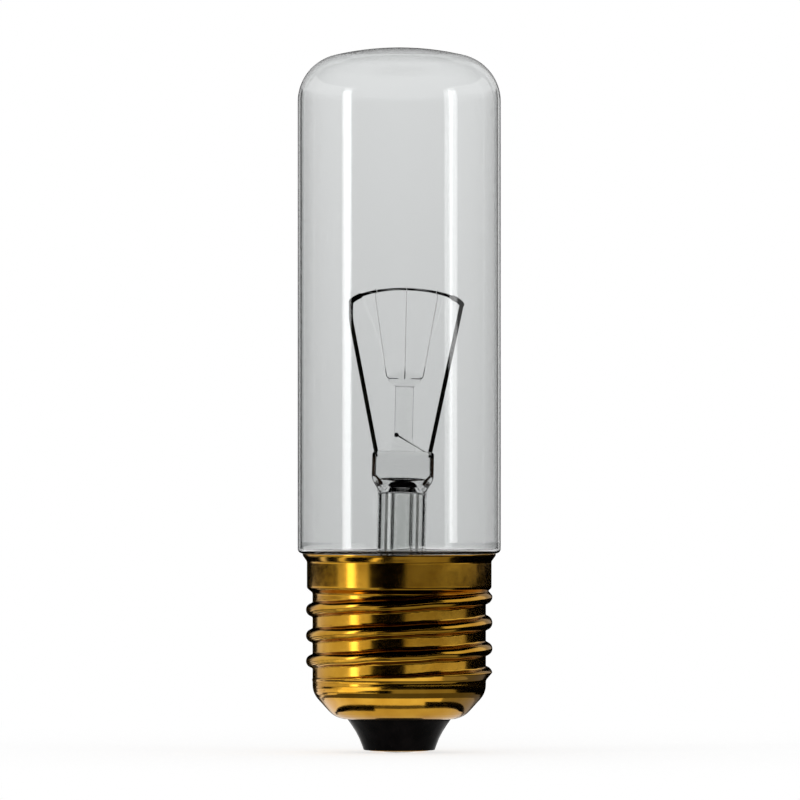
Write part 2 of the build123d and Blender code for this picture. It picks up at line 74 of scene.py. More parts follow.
# %% [markdown]
# ## Outlines for turned pieces
# Glass tubing, a drawn shell and a moulded insulator are all turned shapes: one outline, spun
# about the lamp's axis. An outline is a list of corners, each a radius, a height and a rounding.
# The helper replaces each corner by an arc and cuts the straight runs short, because a long face
# next to a small arc would smear the shading of the arc over its whole length.

# %% Round an outline's corners
STRAIGHT = math.radians(89.9)  # half the angle at a corner too flat for an arc


def divided(path, run):
    """The same path with no straight run longer than that."""
    fine = [path[0]]
    for start, end in zip(path, path[1:]):
        parts = max(1, math.ceil((end - start).length / run))
        fine += [start.lerp(end, i / parts) for i in range(1, parts + 1)]
    return fine


def rounded(corners, run=1.0 * MM, turn=math.radians(6)):
    """The outline through (radius, height, rounding) corners, as 2D points."""
    points = [Vector(corner[:2]) for corner in corners]
    path = [points[0]]
    for before, corner, after, size in zip(points, points[1:], points[2:], corners[1:-1]):
        back, on = (before - corner).normalized(), (after - corner).normalized()
        half = back.angle(on) / 2
        if size[2] == 0 or half > STRAIGHT:
            path.append(corner)
            continue
        centre = corner + (back + on).normalized() * size[2] / math.sin(half)
        reach = size[2] / math.tan(half)
        arm, sweep = corner + back * reach - centre, math.pi - 2 * half
        sweep = math.copysign(sweep, arm.cross(corner + on * reach - centre))
        steps = max(2, math.ceil(abs(sweep) / turn))
        path += [centre + Matrix.Rotation(sweep * i / steps, 2) @ arm for i in range(steps + 1)]
    path.append(points[-1])
    return divided(path, run)


elbow = rounded([(0, 0, 0), (5 * MM, 0, 2 * MM), (5 * MM, 5 * MM, 0)])
print(f"a corner with a rounding of 2 mm: {len(elbow)} points")

# %% [markdown]
# A sheet has two sides, so its second outline lies a wall's thickness from the first, with each
# rounding larger or smaller by the wall. Moving the corners and rounding them again is exact,
# where moving the finished points would bunch them up on the inside of a bend. The dome of the
# tube is known by the centres of its arcs, so arcs get a helper of their own.


# %% Draw a sheet's other side, and arcs
def inset(corners, wall):
    """The corners of a sheet's other side, a wall's thickness to the right of the outline."""
    points = [Vector(corner[:2]) for corner in corners]
    ways = [(b - a).normalized() for a, b in zip(points, points[1:])]
    moved = []
    for i, point in enumerate(points):
        first, last = ways[max(i - 1, 0)], ways[min(i, len(ways) - 1)]
        right, other = Vector((first.y, -first.x)), Vector((last.y, -last.x))
        point = point + (right + other) * wall / (1 + right.dot(other))
        size = corners[i][2]
        if size:
            size = max(size + math.copysign(wall, first.cross(last)), 0.1 * MM)
        moved.append((point.x, point.y, size))
    return moved


def arc(centre, radius, start, end, step=3):
    """Points on an arc, with its angles in degrees from the outward direction."""
    steps = max(2, math.ceil(abs(end - start) / step))
    angles = [math.radians(start + (end - start) * i / steps) for i in range(steps + 1)]
    return [Vector(centre) + radius * Vector((math.cos(a), math.sin(a))) for a in angles]


print(f"a quarter of a circle: {len(arc((0, 0), MM, 0, 90))} points")

# %% [markdown]
# ## A lathe in Geometry Nodes
# Blender's Spin tool or a Screw modifier would turn an outline too. A node tree does it as a rule
# that stays readable: a grid has one column for each step round the axis and one row for each
# point of the outline, and every grid point is moved to its outline point, turned by its column's
# angle. Merging by distance then closes the seam, and the poles where the outline meets the axis.


# %% Helpers for node trees
def new_tree(name, sizes):
    """A Geometry Nodes tree with a geometry input, named size inputs and a material."""
    tree = bpy.data.node_groups.new(name, "GeometryNodeTree")
    panel = tree.interface
    kinds = {int: "NodeSocketInt", float: "NodeSocketFloat", tuple: "NodeSocketVector"}
    panel.new_socket("Geometry", in_out="INPUT", socket_type="NodeSocketGeometry")
    for label, value in sizes.items():
        socket = panel.new_socket(label, in_out="INPUT", socket_type=kinds[type(value)])
        socket.default_value = value
    panel.new_socket("Material", in_out="INPUT", socket_type="NodeSocketMaterial")
    panel.new_socket("Geometry", in_out="OUTPUT", socket_type="NodeSocketGeometry")
    return tree, tree.nodes.new("NodeGroupInput").outputs


def add(tree, kind, *values, **settings):
    """A node with its settings made and its inputs filled in order; None leaves one alone."""
    node = tree.nodes.new(kind)
    for label, value in settings.items():
        setattr(node, label, value)
    for socket, value in zip(node.inputs, values):
        if isinstance(value, bpy.types.NodeSocket):
            tree.links.new(value, socket)
        elif value is not None:
            socket.default_value = value
    return node


def feed(tree, node, inputs):
    """Links or sets a node's inputs by their names."""
    for label, value in inputs.items():
        if isinstance(value, bpy.types.NodeSocket):
            tree.links.new(value, node.inputs[label])
        else:
            node.inputs[label].default_value = value


def calc(tree, operation, *values):
    """One Math node's result."""
    return add(tree, "ShaderNodeMath", *values, operation=operation).outputs[0]


def close_tree(tree, mesh, material):
    """Smooth shading, realised instances and a material, as the export needs."""
    smooth = add(tree, "GeometryNodeSetShadeSmooth", mesh).outputs[0]
    real = add(tree, "GeometryNodeRealizeInstances", smooth).outputs[0]
    painted = add(tree, "GeometryNodeSetMaterial", real, None, material).outputs[0]
    add(tree, "NodeGroupOutput", painted)


# %% Build the lathe tree
SEAM = 1e-7  # points nearer than this are one


def lathe_tree():
    tree, given = new_tree("lathe", {"Steps round": 160})
    outline, around = given["Geometry"], given["Steps round"]
    rows = add(tree, "GeometryNodeAttributeDomainSize", outline, component="MESH").outputs[0]
    columns = calc(tree, "ADD", around, 1)
    grid = add(tree, "GeometryNodeMeshGrid", 1.0, 1.0, columns, rows).outputs[0]
    index = add(tree, "GeometryNodeInputIndex").outputs[0]
    column = calc(tree, "FLOOR", calc(tree, "DIVIDE", index, rows))
    row = calc(tree, "SUBTRACT", index, calc(tree, "MULTIPLY", column, rows))
    place = add(tree, "GeometryNodeInputPosition").outputs[0]
    taken = add(tree, "GeometryNodeSampleIndex", data_type="FLOAT_VECTOR", domain="POINT")
    feed(tree, taken, {"Geometry": outline, "Value": place, "Index": row})
    point = add(tree, "ShaderNodeSeparateXYZ", taken.outputs[0]).outputs
    angle = calc(tree, "MULTIPLY", calc(tree, "DIVIDE", column, around), math.tau)
    x = calc(tree, "MULTIPLY", point["X"], calc(tree, "COSINE", angle))
    y = calc(tree, "MULTIPLY", point["X"], calc(tree, "SINE", angle))
    turned = add(tree, "ShaderNodeCombineXYZ", x, y, point["Z"]).outputs[0]
    spun = add(tree, "GeometryNodeSetPosition", grid, None, turned).outputs[0]
    closed = add(tree, "GeometryNodeMergeByDistance", spun)
    feed(tree, closed, {"Distance": SEAM})
    close_tree(tree, closed.outputs[0], given["Material"])
    return tree


LATHE = lathe_tree()
print(f"{LATHE.name}: {len(LATHE.nodes)} nodes")

# %% [markdown]
# A tree becomes a modifier, whose inputs are set by their sockets' identifiers. The result is then
# copied to a plain mesh, because a piece leaves this file as a mesh alone. Faces have to point out
# of the glass and the metal, so a mesh whose volume comes out negative is turned round.


# %% Turn a piece and put it on the lamp
def use_tree(piece, tree, material, **sizes):
    """Adds the tree as a modifier and sets its inputs by their identifiers."""
    modifier = piece.modifiers.new(tree.name, "NODES")
    modifier.node_group = tree
    labels = {label.replace("_", " "): value for label, value in sizes.items()}
    labels["Material"] = material
    for socket in tree.interface.items_tree:
        if socket.item_type == "SOCKET" and socket.in_out == "INPUT" and socket.name in labels:
            modifier[socket.identifier] = labels[socket.name]


def made_plain(piece, place=None):
    """The evaluated piece as a plain mesh with its faces outward, at its place."""
    seen = piece.evaluated_get(bpy.context.evaluated_depsgraph_get())
    mesh = bpy.data.meshes.new_from_object(seen)
    piece.modifiers.clear()
    piece.data = mesh
    mesh.name = piece.name
    bm = bmesh.new()
    bm.from_mesh(mesh)
    if bm.calc_volume(signed=True) < 0:
        bmesh.ops.reverse_faces(bm, faces=bm.faces)
    if place:
        bm.transform(place)
    bm.to_mesh(mesh)
    bm.free()
    return piece


def new_piece(name, points, faces=()):
    """An object at the origin, with a mesh of points and perhaps faces."""
    mesh = bpy.data.meshes.new(name)
    mesh.from_pydata(points, [], faces)
    piece = bpy.data.objects.new(name, mesh)
    scene.collection.objects.link(piece)
    return piece


def turned(name, outline, material, steps=160, place=None):
    """A piece turned from an outline of 2D points."""
    piece = new_piece(name, [(p.x, 0, p.y) for p in outline])
    use_tree(piece, LATHE, material, Steps_round=steps)
    return made_plain(piece, place)


def dress(piece, slot, *nodes):
    """Puts a finished piece on the lamp in place of its CAD nodes."""
    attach(piece, "root")
    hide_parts(*nodes)
    faces = sum(len(p.vertices) - 2 for p in piece.data.polygons)
    print(f"{piece.name}: {faces} triangles, in place of {', '.join(nodes)}")


# %% [markdown]
# ## Finishes
# Each finish is a node material on Object coordinates, so that its pattern sits on the piece. The
# lamp is small, so a scale of 1000 gives a noise about a millimetre across.


# %% Helpers for finishes
def new_finish(name):
    """A material with its coordinates, main shader and output."""
    material = bpy.data.materials.new(name)
    material.use_nodes = True
    tree = material.node_tree
    tree.nodes.clear()
    spot = tree.nodes.new("ShaderNodeTexCoord").outputs["Object"]
    shader = tree.nodes.new("ShaderNodeBsdfPrincipled")
    add(tree, "ShaderNodeOutputMaterial", shader.outputs[0])
    return material, tree, spot, shader


def output_of(tree):
    """The output node of a material's tree."""
    return next(node for node in tree.nodes if node.type == "OUTPUT_MATERIAL")


def noise(tree, spot, scale, detail=3.0, stretch=(1, 1, 1)):
    """A noise value, with its pattern stretched along the lamp's axes."""
    spot = add(tree, "ShaderNodeMapping", spot, None, None, stretch).outputs[0]
    texture = tree.nodes.new("ShaderNodeTexNoise")
    feed(tree, texture, {"Vector": spot, "Scale": scale, "Detail": detail})
    return texture.outputs["Fac"]


def spread(tree, value, low, high):
    """A noise value mapped onto a range: most of a noise lies between 0.3 and 0.7."""
    return add(tree, "ShaderNodeMapRange", value, 0.3, 0.7, low, high).outputs[0]


def share_of(tree, value, start, end):
    """How far a value has come from a start to an end, from none to one."""
    return add(tree, "ShaderNodeMapRange", value, start, end, 0.0, 1.0).outputs[0]


def tint(tree, value, *stops):
    """A colour ramp over (position, colour) stops."""
    ramp = add(tree, "ShaderNodeValToRGB", value)
    elements = ramp.color_ramp.elements
    while len(elements) < len(stops):
        elements.new(0.5)
    for element, (position, colour) in zip(elements, stops):
        element.position, element.color = position, (*colour, 1)
    return ramp.outputs["Color"]


def bump(tree, height, depth):
    """A bump of that depth in metres."""
    node = tree.nodes.new("ShaderNodeBump")
    feed(tree, node, {"Strength": 1.0, "Distance": depth, "Height": height})
    return node.outputs["Normal"]


# %% [markdown]
# ### Glass
# The tube is clear soda glass, drawn with a grey tint that deepens towards the cap: painted shade
# for the darker surround seen through the tube. A transmission shader on a real two-sided wall
# bends light as the tube does. Lamps have to reach the mount inside, so for shadow rays alone the
# wall is a tinted transparent sheet. Glass also takes a share of the light for each metre of its
# own thickness, which darkens its edges. The roof of the hollow under the press is a plain black
# skin inside a small drum of space, painted shade for the dark lens seen there, and the rod on the
# press is drawn with a low index of refraction, because the real one hardly shows.

# %% Glass finishes
TINT_DRIFT = 0.02  # how far a tint wanders, as a share of its run
# Black for the burnt ends of wires, and for the painted shade under the press.
BURNT_AND_SHADE_BLACK = (0.004, 0.004, 0.004)


def within(tree, spot, middle, reach, half):
    """One inside an upright drum, given by its middle, its radius and half its height."""
    off = add(tree, "ShaderNodeVectorMath", spot, middle, operation="SUBTRACT").outputs[0]
    x, y, z = add(tree, "ShaderNodeSeparateXYZ", off).outputs
    square = calc(tree, "MULTIPLY_ADD", x, x, calc(tree, "MULTIPLY", y, y))
    near = calc(tree, "LESS_THAN", calc(tree, "SQRT", square), reach)
    level = calc(tree, "LESS_THAN", calc(tree, "ABSOLUTE", z), half)
    return calc(tree, "MULTIPLY", near, level)


def glass(name, stops, bottom, top, density, index=1.5, painted_shade=None):
    """Clear glass with a tint that runs over (share, colour) stops between two heights."""
    material, tree, spot, shader = new_finish(name)
    height = add(tree, "ShaderNodeSeparateXYZ", spot).outputs["Z"]
    level = calc(tree, "SUBTRACT", share_of(tree, height, bottom, top), TINT_DRIFT / 2)
    tint_level = calc(tree, "MULTIPLY_ADD", noise(tree, spot, 60, 2.0), TINT_DRIFT, level)
    # For the bulb glass this colour is painted shade, deeper towards the cap.
    colour = tint(tree, tint_level, *stops)
    ripple = noise(tree, spot, 70, 1.0, (1, 1, 0.35))
    settings = {"Roughness": 0.0, "IOR": index, "Transmission Weight": 1.0}
    settings |= {"Base Color": colour, "Normal": bump(tree, ripple, 0.02 * MM)}
    feed(tree, shader, settings)
    sheet = add(tree, "ShaderNodeBsdfTransparent", colour).outputs[0]
    shadow = tree.nodes.new("ShaderNodeLightPath").outputs["Is Shadow Ray"]
    skin = add(tree, "ShaderNodeMixShader", shadow, shader.outputs[0], sheet).outputs[0]
    # A black skin inside the drum is painted shade for the dark lens under the press.
    if painted_shade:
        black = add(tree, "ShaderNodeBsdfDiffuse", (*BURNT_AND_SHADE_BLACK, 1)).outputs[0]
        shade_mask = within(tree, spot, *painted_shade)
        skin = add(tree, "ShaderNodeMixShader", shade_mask, skin, black).outputs[0]
    body = add(tree, "ShaderNodeVolumeAbsorption", (0.5, 0.5, 0.5, 1), 2 * density).outputs[0]
    feed(tree, output_of(tree), {"Surface": skin, "Volume": body})
    return material


# %% Make the glasses
CLEAR_GLASS, WHITE = (0.96, 0.97, 0.96), (1.0, 1.0, 1.0)
# The bulb's grey tint, deepening towards the cap, is painted shade for the darker surround seen
# through the tube.
PAINTED_SHADE_TINT = [(0.0, WHITE), (0.014, (0.825, 0.835, 0.835)), (1.0, (0.945, 0.955, 0.955))]
BULB_GLASS = glass("bulb glass", PAINTED_SHADE_TINT, 28.2 * MM, 96 * MM, 140)

MOUNT_TINT = [(0.0, CLEAR_GLASS), (1.0, WHITE)], 17 * MM, 55 * MM, 25
# The drum at the roof of the stem's hollow, where a black skin is painted shade.
ROOF_SHADE_DRUM = ((0.46 * MM, 0, 37.87 * MM), 1.85 * MM, 0.75 * MM)
MOUNT_GLASS = glass("mount glass", *MOUNT_TINT)
ARBOR_GLASS = glass("arbor glass", *MOUNT_TINT, index=1.08)
SHADED_STEM_GLASS = glass("stem glass with painted shade", *MOUNT_TINT, painted_shade=ROOF_SHADE_DRUM)
glasses = BULB_GLASS, MOUNT_GLASS, ARBOR_GLASS, SHADED_STEM_GLASS
print("made:", ", ".join(finish.name for finish in glasses))

# %% [markdown]
# ### Metals
# The cap is bright brass, drawn through a die, with a lacquer that has darkened a little, so its
# colour and its roughness wander, and a slow bump bends what it mirrors. Drawing leaves fine lines
# along the axis, which spread mirrored light sideways: the shader's anisotropy does that, with a
# tangent that runs round the axis. The wires are nickel, copper and tungsten, dull from heat.


# %% Metal finishes
def metal(name, bright, dark, scale, rough, depth, edge=1.0, metallic=1.0, drawn=0.0):
    """A metal with wandering colour and roughness, a slow bump and a sheen at its edges."""
    material, tree, spot, shader = new_finish(name)
    patch = noise(tree, spot, scale, 4.0)
    fine = noise(tree, spot, scale * 4, 3.0)
    settings = {"Metallic": metallic, "Specular Tint": (edge, edge, edge, 1)}
    settings["Anisotropic"] = drawn
    settings["Base Color"] = tint(tree, patch, (0.35, dark), (0.65, bright))
    settings["Roughness"] = spread(tree, fine, *rough)
    settings["Normal"] = bump(tree, noise(tree, spot, scale, 2.0), depth)
    if drawn:
        around = add(tree, "ShaderNodeTangent", direction_type="RADIAL", axis="Z")
        settings["Tangent"] = around.outputs[0]
    feed(tree, shader, settings)
    return material


BRASS = metal(
    "lacquered brass", (0.56, 0.30, 0.032), (0.45, 0.22, 0.018), 260, (0.085, 0.12), 0.005 * MM,
    drawn=0.95,
)
NICKEL = metal(
    "dull nickel", (0.014, 0.013, 0.010), (0.005, 0.005, 0.004), 900, (0.30, 0.50), 0.01 * MM,
    edge=0.02,
)
TINNED = metal(
    "tinned wire", (0.80, 0.80, 0.78), (0.62, 0.62, 0.60), 900, (0.5, 0.7), 0.01 * MM,
    edge=0.5, metallic=0.0,
)
COPPER = metal(
    "dark copper", (0.050, 0.032, 0.024), (0.025, 0.016, 0.012), 900, (0.30, 0.50), 0.01 * MM,
)
TUNGSTEN = metal(
    "tungsten", (0.010, 0.010, 0.010), (0.003, 0.003, 0.003), 2000, (0.40, 0.60), 0.005 * MM,
    edge=0.02,
)
SOLDER = metal(
    "solder", (0.62, 0.62, 0.60), (0.42, 0.42, 0.41), 700, (0.25, 0.50), 0.08 * MM,
)
metals = BRASS, NICKEL, TINNED, COPPER, TUNGSTEN, SOLDER
print("made:", ", ".join(finish.name for finish in metals))

# %% [markdown]
# Two kinds of wire were burnt at one end: the pin that leans out of the press is black at its
# bead, and the thin supports are black where they were pushed into the hot button. A place along
# one axis is all that this needs, so the colour runs over that axis.

# %% Burnt wires
BUTTON_EDGE = 54.1 * MM


def scorched(name, axis, burnt, clean, pale):
    """Pale wire that is black up to one place along an axis and clean from another."""
    material, tree, spot, shader = new_finish(name)
    along = add(tree, "ShaderNodeSeparateXYZ", spot).outputs[axis]
    share = share_of(tree, along, burnt, clean)
    settings = {"Specular IOR Level": 0.1}
    settings["Base Color"] = tint(tree, share, (0, BURNT_AND_SHADE_BLACK), (1, pale))
    settings["Roughness"] = spread(tree, noise(tree, spot, 2000), 0.5, 0.8)
    feed(tree, shader, settings)
    return material


GETTER = scorched("getter pin", "X", 0.2 * MM, 2.2 * MM, (0.75, 0.75, 0.73))
# The supports' near-white is partly molybdenum's own light grey and partly painted light: the
# white room that the metal mirrors.
MOLYBDENUM = scorched(
    "molybdenum painted pale", "Z", BUTTON_EDGE, BUTTON_EDGE + 0.8 * MM, (0.97, 0.97, 0.96)
)
print("made:", GETTER.name, "and", MOLYBDENUM.name)

# %% [markdown]
# ### Black glass and cement
# The insulator is black glass, poured hot and left glossy, with faint clouds and a skin that is
# not quite level. The cement is a baked powder: matt, with a fine grain.


# %% Black glass and cement
def black_glass():
    material, tree, spot, shader = new_finish("black glass")
    cloud = noise(tree, spot, 500)
    dark, light = (0.0012, 0.0010, 0.0010), (0.0040, 0.0032, 0.0032)
    settings = {"Specular IOR Level": 0.02}
    settings["Base Color"] = tint(tree, cloud, (0.4, dark), (0.7, light))
    settings["Roughness"] = spread(tree, cloud, 0.10, 0.22)
    settings["Normal"] = bump(tree, noise(tree, spot, 350, 2.0), 0.08 * MM)
    feed(tree, shader, settings)
    return material


def cement():
    material, tree, spot, shader = new_finish("basing cement")
    grain = noise(tree, spot, 2500, 5.0)
    dark, light = (0.42, 0.36, 0.27), (0.62, 0.56, 0.45)
    settings = {"Base Color": tint(tree, grain, (0.3, dark), (0.7, light))}
    settings["Roughness"] = spread(tree, grain, 0.8, 0.95)
    settings["Normal"] = bump(tree, grain, 0.1 * MM)
    feed(tree, shader, settings)
    return material


BLACK_GLASS = black_glass()
CEMENT = cement()
print("made:", BLACK_GLASS.name, "and", CEMENT.name)

# %% [markdown]
# ## The glass tube
# The tube is one blown wall: a nearly flat crown, a round knuckle, a long straight side, a tight
# shoulder just above the cap and a neck that narrows to the seal inside the cap. The same outline
# is drawn twice, the second time a wall's thickness further in, and the two meet at the cut end.
# A Solidify modifier could make the wall too, but only two true outlines keep their roundings
# right: blowing also thins the wall to half at the crown.

# %% Turn the glass tube
WALL = 0.5 * MM
CROWN = 40.0 * MM
KNUCKLE = 6.8 * MM
SHOULDER = LIP_TOP + 0.04 * MM
SKIRT_RADIUS = LIP_RADIUS - 0.6 * MM
NECK_RADIUS = SKIRT_RADIUS - 0.65 * MM
SEAL_RADIUS = 10.2 * MM
SEAL = Vector((0, 0, 16.75 * MM))  # where the stem is fused to the neck
crown_angle = math.degrees(math.asin((TUBE_RADIUS - KNUCKLE) / (CROWN - KNUCKLE)))


def dome(wall):
    """Crown and knuckle, from the axis to the side."""
    centre = Vector((0, DOME_TOP - CROWN + wall / 2))
    lean = math.radians(90 - crown_angle)
    corner = centre + (CROWN - KNUCKLE) * Vector((math.cos(lean), math.sin(lean)))
    crown = arc(centre, CROWN - wall, 90, 90 - crown_angle, 1.5)
    return crown + arc(corner, KNUCKLE - wall, 90 - crown_angle, 0)[1:]


def side(wall):
    """Side, shoulder and neck, from the dome down to the seal."""
    step = TUBE_RADIUS - NECK_RADIUS
    corners = [
        (TUBE_RADIUS, dome(0)[-1].y, 0),
        (TUBE_RADIUS, SHOULDER + wall, 0.35 * step - wall),
        (NECK_RADIUS, SHOULDER + wall, 0.3 * step + wall),
        (SEAL_RADIUS, SEAL.z + 3.6 * MM, 3.0 * MM),
        (SEAL_RADIUS, SEAL.z, 0),
    ]
    return rounded([(r - wall, z, size) for r, z, size in corners])


outside = dome(0)[:-1] + side(0)
inside = dome(WALL)[:-1] + side(WALL)
inside[0].x = 0
bulb = turned("bulb_glass", outside + inside[::-1], BULB_GLASS, 192)
dress(bulb, "clear_glass", "glass_envelope")

# %% [markdown]
# ## The mount
# The stem is a glass tube with a flared foot, which is sealed to the neck, and a top that was
# squeezed flat while hot round the two wires: the press. It is turned as a plain tube first, and
# the squeeze is then a rule on its points: the round section becomes a rounded oblong above a
# certain height. The hollow ends under the press in a low roof, drawn with a black skin that is
# painted shade for the dark lens seen there. The wall is drawn thinner than the solid's, which
# puts its dark lines near the edge, where the real stem has them. Everything on the stem leans as
# one, by a degree, as a hand-made mount does.

# %% Turn and squeeze the stem
MOUNT = Matrix.Translation(SEAL) @ Matrix.Rotation(math.radians(1.25), 4, "Y")
STEM_RADIUS = 3.5 * MM
STEM_INSIDE = STEM_RADIUS - 0.5 * MM
FOOT_WALL = 0.75 * MM
PRESS_START, PRESS_FULL, PRESS_TOP = 20.0 * MM, 22.4 * MM, 26.0 * MM
PRESS_HALF_WIDTH, PRESS_HALF_DEPTH = 4.4 * MM, 1.8 * MM
HOLLOW_TOP = 21.7 * MM

stem_outline = rounded(
    [
        (0, PRESS_TOP, 0),
        (STEM_RADIUS, PRESS_TOP, 0.5 * MM),
        (STEM_RADIUS, 0, 4.75 * MM),
        (SEAL_RADIUS, 0, 0),
        (SEAL_RADIUS, -FOOT_WALL, 0),
        (STEM_INSIDE, -FOOT_WALL, 5.5 * MM),
        (STEM_INSIDE, 20.1 * MM, 0.3 * MM),
        (1.8 * MM, 20.55 * MM, 0.1 * MM),
        (1.7 * MM, 20.8 * MM, 0.2 * MM),
        (0, HOLLOW_TOP, 0),
    ],
    0.3 * MM,
)


def squeezed(point):
    """A point of the stem's outside after the press has closed on it."""
    radius = math.hypot(point.x, point.y)
    hollow = radius < STEM_INSIDE + 0.1 * MM and point.z < HOLLOW_TOP + 0.05 * MM
    if hollow or point.z < PRESS_START or radius == 0:
        return point
    share = min((point.z - PRESS_START) / (PRESS_FULL - PRESS_START), 1)
    share = share * share * (3 - 2 * share)
    width = STEM_RADIUS + (PRESS_HALF_WIDTH - STEM_RADIUS) * share
    depth = STEM_RADIUS + (PRESS_HALF_DEPTH - STEM_RADIUS) * share
    power = 2 + 2.5 * share
    x, y = point.x / radius, point.y / radius
    reach = (abs(x / width) ** power + abs(y / depth) ** power) ** (-1 / power)
    return Vector((x, y, 0)) * reach * radius / STEM_RADIUS + Vector((0, 0, point.z))


stem = turned("stem_glass", stem_outline, SHADED_STEM_GLASS, 96)
for vertex in stem.data.vertices:
    vertex.co = MOUNT @ squeezed(vertex.co)
dress(stem, "clear_glass", "stem_tube")

# %% [markdown]
# The exhaust tube, through which the lamp was pumped empty, runs down inside the stem from the
# press and is melted to a point in the cap. It is turned as one outline, up its outside and down
# its bore, and then leant with the rest of the mount.

# %% Turn the exhaust tube
EXHAUST_RADIUS, EXHAUST_BORE = 1.7 * MM, 1.25 * MM
EXHAUST_TOP, EXHAUST_TAPER = 20.45 * MM, -4.6 * MM
exhaust_outline = rounded(
    [
        (0, -7.2 * MM, 0),
        (0.6 * MM, -7.2 * MM, 0.3 * MM),
        (EXHAUST_RADIUS, EXHAUST_TAPER, 1.0 * MM),
        (EXHAUST_RADIUS, EXHAUST_TOP, 0.1 * MM),
        (EXHAUST_BORE, EXHAUST_TOP, 0.1 * MM),
        (EXHAUST_BORE, EXHAUST_TAPER, 0.5 * MM),
        (0, -5.3 * MM, 0),
    ]
)
exhaust = turned("exhaust_glass", exhaust_outline, MOUNT_GLASS, 64, MOUNT)
dress(exhaust, "clear_glass", "exhaust_tube")

# %% [markdown]
# On top of the press stands the arbor, a solid glass rod. Its end was melted to a flat button,
# into which the thin support wires were pushed while it was soft.

# %% Turn the arbor
CLEAR = 0.02 * MM
ROD_RADIUS = 1.3 * MM
BUTTON_HEIGHT, BUTTON_RADIUS, BUTTON_HALF = 36.3 * MM, 2.3 * MM, 1.05 * MM
arbor_outline = rounded(
    [
        (0, PRESS_TOP + CLEAR, 0),
        (1.7 * MM, PRESS_TOP + CLEAR, 0.1 * MM),
        (ROD_RADIUS, PRESS_TOP + 1.8 * MM, 2.0 * MM),
        (ROD_RADIUS, BUTTON_HEIGHT - BUTTON_HALF, 0.3 * MM),
        (BUTTON_RADIUS, BUTTON_HEIGHT - BUTTON_HALF, 0.95 * MM),
        (BUTTON_RADIUS, BUTTON_HEIGHT + BUTTON_HALF, 0.95 * MM),
        (0, BUTTON_HEIGHT + BUTTON_HALF, 0),
    ],
    0.5 * MM,
)
arbor = turned("arbor_glass", arbor_outline, ARBOR_GLASS, 64, MOUNT)
dress(arbor, "clear_glass", "button_rod")

# %% [markdown]
# ## The filament
# The filament is a fine tungsten wire wound into a close coil and slung in a bow from one lead to
# the other. Geometry Nodes wind it: an arc through three points is cut into many short steps, each
# step is pushed off the arc by a radius that turns as it goes, and a small circle is swept along.
# A curve with a Screw modifier could not follow the bow.


# %% Build the coil tree
def coil_tree():
    sizes = {"Start": (0.0, 0.0, 0.0), "Middle": (0.0, 0.0, 0.0), "End": (0.0, 0.0, 0.0)}
    sizes |= {"Turns": 100, "Steps": 1400}
    sizes |= {"Coil radius": 0.001, "End radius": 0.001, "Wire radius": 0.001}
    tree, given = new_tree("coil", sizes)

    def vector(operation, *values):
        return add(tree, "ShaderNodeVectorMath", *values, operation=operation)

    bow = add(tree, "GeometryNodeCurveArc", mode="POINTS")
    feed(tree, bow, {"Resolution": 160} | {end: given[end] for end in ("Start", "Middle", "End")})
    cut = add(tree, "GeometryNodeResampleCurve", bow.outputs["Curve"])
    feed(tree, cut, {"Count": given["Steps"]})
    along = add(tree, "GeometryNodeInputTangent").outputs[0]
    upright = vector("CROSS_PRODUCT", along, (0, 0, 1)).outputs[0]
    upright = vector("NORMALIZE", upright).outputs[0]
    across = vector("CROSS_PRODUCT", along, upright).outputs[0]
    share = add(tree, "GeometryNodeSplineParameter").outputs["Factor"]
    turn = calc(tree, "MULTIPLY", calc(tree, "MULTIPLY", share, given["Turns"]), math.tau)
    off_middle = calc(tree, "ABSOLUTE", calc(tree, "MULTIPLY_ADD", share, 2.0, -1.0))
    flare = calc(tree, "SUBTRACT", given["End radius"], given["Coil radius"])
    flare = calc(tree, "MULTIPLY", calc(tree, "POWER", off_middle, 3.0), flare)
    radius = calc(tree, "ADD", given["Coil radius"], flare)
    push = []
    for axis, wave in ((upright, "COSINE"), (across, "SINE")):
        scaled = vector("SCALE", axis)
        feed(tree, scaled, {"Scale": calc(tree, "MULTIPLY", calc(tree, wave, turn), radius)})
        push.append(scaled.outputs[0])
    wound = add(tree, "GeometryNodeSetPosition", cut.outputs[0])
    feed(tree, wound, {"Offset": vector("ADD", *push).outputs[0]})
    ring = add(tree, "GeometryNodeCurvePrimitiveCircle", 7)
    feed(tree, ring, {"Radius": given["Wire radius"]})
    swept = add(tree, "GeometryNodeCurveToMesh", wound.outputs[0], ring.outputs[0])
    feed(tree, swept, {"Fill Caps": True})
    close_tree(tree, swept.outputs[0], given["Material"])
    return tree


COIL = coil_tree()
print(f"{COIL.name}: {len(COIL.nodes)} nodes")

# %% Wind the filament
LEAD_TIP = Vector((7.85, 0, 47.0)) * MM
BOW_MIDDLE = Vector((0, 6.0, 49.05)) * MM
COIL_RADIUS, COIL_END, COIL_WIRE = 0.14 * MM, 0.30 * MM, 0.055 * MM
COIL_TURNS, STEPS_A_TURN = 140, 14
coil = new_piece("filament_coil", [(0, 0, 0)])
use_tree(
    coil,
    COIL,
    TUNGSTEN,
    Start=MOUNT @ Vector((-LEAD_TIP.x, 0, LEAD_TIP.z)),
    Middle=MOUNT @ BOW_MIDDLE,
    End=MOUNT @ LEAD_TIP,
    Turns=COIL_TURNS,
    Steps=COIL_TURNS * STEPS_A_TURN,
    Coil_radius=COIL_RADIUS,
    End_radius=COIL_END,
    Wire_radius=COIL_WIRE,
)
dress(made_plain(coil), "tungsten", "filament")

# %% [markdown]
# ## The brass cap
# The cap is drawn from sheet: a floor with a mouth for the insulator, a cone, a straight wall that
# is rolled into a thread, a smooth skirt and a lip. The lathe turns the plain shell, and a second
# tree rolls the thread into it. The rule is short: a point's height and its angle round the axis
# give its distance from the nearest crest, that distance gives a ridge's height, and the wall is
# pushed out to the ridge wherever the ridge stands higher. A smooth maximum rounds the root, and a
# slow noise lets the ridges wander a little, as rolled ones do.


